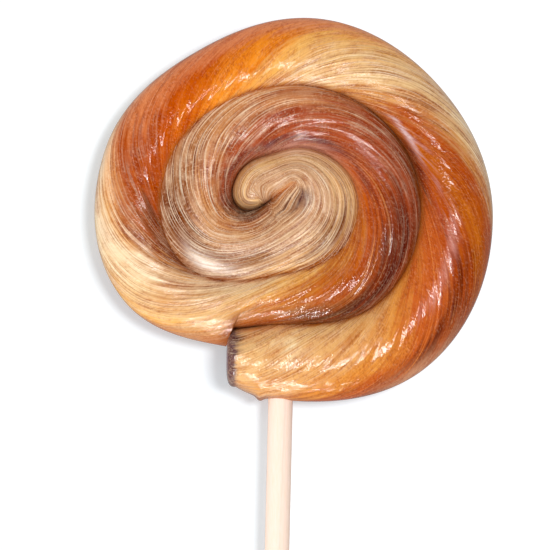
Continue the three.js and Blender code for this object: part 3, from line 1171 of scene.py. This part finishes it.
@dataclass
class PaperStick:
    """The stick: a strip of paper rolled into a rod. Lengths are millimetres."""

    diameter: float = 4.76
    length: float = 152.4
    lean: float = 1.34
    top: tuple[float, float, float] = (-2.1, -30.4, 5.1)
    chamfer: float = 0.25
    sides: int = 120
    long_steps: int = 160
    end_rings: int = 24
    seam_depth: float = 0.07
    seam_angle: float = 1.1
    seam_turns: float = 0.18
    seam_power: int = 4
    roll_depth: float = 0.06
    rolls: int = 5
    sharp_above: float = 35.0
    finish: RolledPaper = field(default_factory=RolledPaper)

    def surface(self) -> Array:
        """Works out the rod as rings of points, from the middle of one end to that of the other.

        The radius follows the chamfered outline. The edge of the paper shows as a step that
        falls off round the rod from the seam, which winds slowly along it, and each end shows
        the roll as a spiral ridge: a sine of the radius plus the angle.

        Returns:
            A grid of points, a row for each ring.
        """
        radius = self.diameter / 2
        inward = np.linspace(0, 1, self.end_rings)[:, None] * (radius - self.chamfer)
        level = np.linspace(self.chamfer, self.length - self.chamfer, self.long_steps)[:, None]
        ring = np.concatenate([inward, np.full_like(level, radius), inward[::-1]])
        height = np.concatenate([inward * 0, level, inward * 0 + self.length])
        angle = np.linspace(0, 2 * np.pi, self.sides + 1)[None, :]
        seam = self.seam_angle + 2 * np.pi * self.seam_turns * height / self.length
        past = (angle - seam) % (2 * np.pi) / (2 * np.pi)
        on_side = (ring >= radius).astype(float)
        ring = ring - self.seam_depth * past ** self.seam_power * on_side
        spiral = np.sin(2 * np.pi * self.rolls * ring / radius + angle) - 1
        dip = self.roll_depth / 2 * spiral * (1 - on_side) * smoothstep(ring, 0, radius / self.rolls)
        height = height - dip * np.where(height < self.length / 2, 1, -1)
        lean = math.radians(self.lean)
        side, down = ring * np.cos(angle), -height
        x = self.top[0] + side * math.cos(lean) + down * math.sin(lean)
        y = self.top[1] - side * math.sin(lean) + down * math.cos(lean)
        z = self.top[2] + ring * np.sin(angle)
        return np.stack(np.broadcast_arrays(x, y, z), -1)

    def build(self) -> Piece:
        """Makes the stick and puts it in the place of its solid.

        Returns:
            The stick's object.
        """
        grid = self.surface()
        places, triangles, _ = weld(grid.reshape(-1, 3), grid_triangles(*grid.shape[:2]))
        stick = mesh_object("rolled_stick", places, triangles, self.sharp_above, {})
        stick.data.materials.append(self.finish.material())
        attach(stick, "root")
        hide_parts("paper_stick")
        log.info("rolled_stick: %d triangles", len(triangles))
        return stick


@dataclass(frozen=True)
class WhiteCard:
    """Matt white card that glows a little, as a table lit from below; gloss mirrors it dimly."""

    name: str = "white_card"
    colour: str = "e0e6ea"
    roughness: float = 0.9
    glow_colour: str = "f6fbff"
    glow: float = 0.38
    mirrored: float = 0.35

    def material(self) -> Material:
        """Builds the material: a glossy ray meets a plain dim glow in place of the card.

        Returns:
            The material.
        """
        made, tree = empty_material(self.name)
        add = partial(add_node, tree)
        lit = add("BsdfPrincipled", inputs={
            "Base Color": linear(self.colour), "Roughness": self.roughness,
            "Specular IOR Level": 0.0, "Emission Color": linear(self.glow_colour),
            "Emission Strength": self.glow})
        mirrored = add("Emission", inputs={"Strength": self.mirrored})
        seen = add("LightPath").outputs["Is Glossy Ray"]
        shader = add("MixShader", inputs={0: seen, 1: lit.outputs[0], 2: mirrored.outputs[0]})
        add("OutputMaterial", inputs={0: shader.outputs[0]})
        return made


@dataclass(frozen=True)
class SoftBox:
    """A soft box that faces the head: its place and size in millimetres, its power in watts.

    glare is whether it glints in the sugar, which a polarised light does not. on_table is whether
    it is flagged to light the table alone, and not the pieces alone.
    """

    name: str
    place: tuple[float, float, float]
    size: tuple[float, float]
    power: float
    glare: bool = True
    on_table: bool = False

    def hang(self, lit: tuple[Piece, ...]) -> None:
        """Hangs the box, flagged so that it lights a few objects alone.

        Args:
            lit: the objects that it lights.
        """
        lamp = bpy.data.lights.new(self.name, "AREA")
        lamp.shape = "RECTANGLE"
        lamp.size, lamp.size_y = (side * MM for side in self.size)
        lamp.energy = self.power
        box = bpy.data.objects.new(self.name, lamp)
        box.location = [v * MM for v in self.place]
        direction = -box.location
        box.rotation_euler = direction.to_track_quat("-Z", "Y").to_euler()
        box.visible_glossy = self.glare
        box.light_linking.receiver_collection = bpy.data.collections.new(self.name)
        for piece in lit:
            box.light_linking.receiver_collection.objects.link(piece)
        bpy.context.collection.objects.link(box)


@dataclass
class Studio:
    """A white table under soft light, with the camera straight above. Lengths are millimetres."""

    view_width: float = 104.5
    view_centre: tuple[float, float] = (-3.42, -17.29)
    camera_height: float = 700.0
    subject_height: float = 9.0
    table_half: float = 2000.0
    card: WhiteCard = field(default_factory=WhiteCard)
    boxes: tuple[SoftBox, ...] = (
        SoftBox("key", (-70, -560, 420), (220, 30), 1.5),
        SoftBox("low", (-40, -680, 220), (200, 20), 0.8),
        SoftBox("overhead", (10, -130, 850), (90, 120), 1.25),
        SoftBox("fill", (-260, 100, 830), (300, 300), 3.8, glare=False),
        SoftBox("side", (290, 90, 850), (220, 220), 4.6, glare=False, on_table=True),
    )
    sky_strength: float = 0.45

    def floor(self) -> Piece:
        """Lays the white table under the head.

        Returns:
            The table's object.
        """
        half = self.table_half * MM
        mesh = bpy.data.meshes.new("table")
        mesh.from_pydata([(-half, -half, 0), (half, -half, 0), (half, half, 0), (-half, half, 0)],
                         [], [(0, 1, 2, 3)])
        table = bpy.data.objects.new("table", mesh)
        bpy.context.collection.objects.link(table)
        mesh.materials.append(self.card.material())
        return table

    def camera(self) -> None:
        """Hangs the camera over the head, square to the table."""
        lens = bpy.data.cameras.new("camera")
        lens.angle = 2 * math.atan(self.view_width / 2 / (self.camera_height - self.subject_height))
        eye = bpy.data.objects.new("camera", lens)
        eye.location = [v * MM for v in (*self.view_centre, self.camera_height)]
        bpy.context.collection.objects.link(eye)
        bpy.context.scene.camera = eye

    def build(self, pieces: tuple[Piece, ...]) -> None:
        """Sets up the table, the camera, the lights and the sky.

        The pieces and the table are lit apart: the table's one light, from the right, throws the
        one soft shadow.

        Args:
            pieces: what stands on the table.
        """
        table = self.floor()
        self.camera()
        for box in self.boxes:
            box.hang((table,) if box.on_table else pieces)
        sky = bpy.context.scene.world or bpy.data.worlds.new("sky")
        bpy.context.scene.world = sky
        sky.use_nodes = True
        backdrop = sky.node_tree.nodes["Background"].inputs
        backdrop["Color"].default_value = (1, 1, 1, 1)
        backdrop["Strength"].default_value = self.sky_strength
        sky.cycles_visibility.glossy = False
        bpy.context.scene.view_settings.view_transform = "Standard"


def main() -> None:
    """Builds the head and the stick and sets up the studio."""
    logging.basicConfig(level=logging.INFO, format="%(name)s: %(message)s")
    Studio().build((SugarHead().build(), PaperStick().build()))


if __name__ == "__main__":
    main()
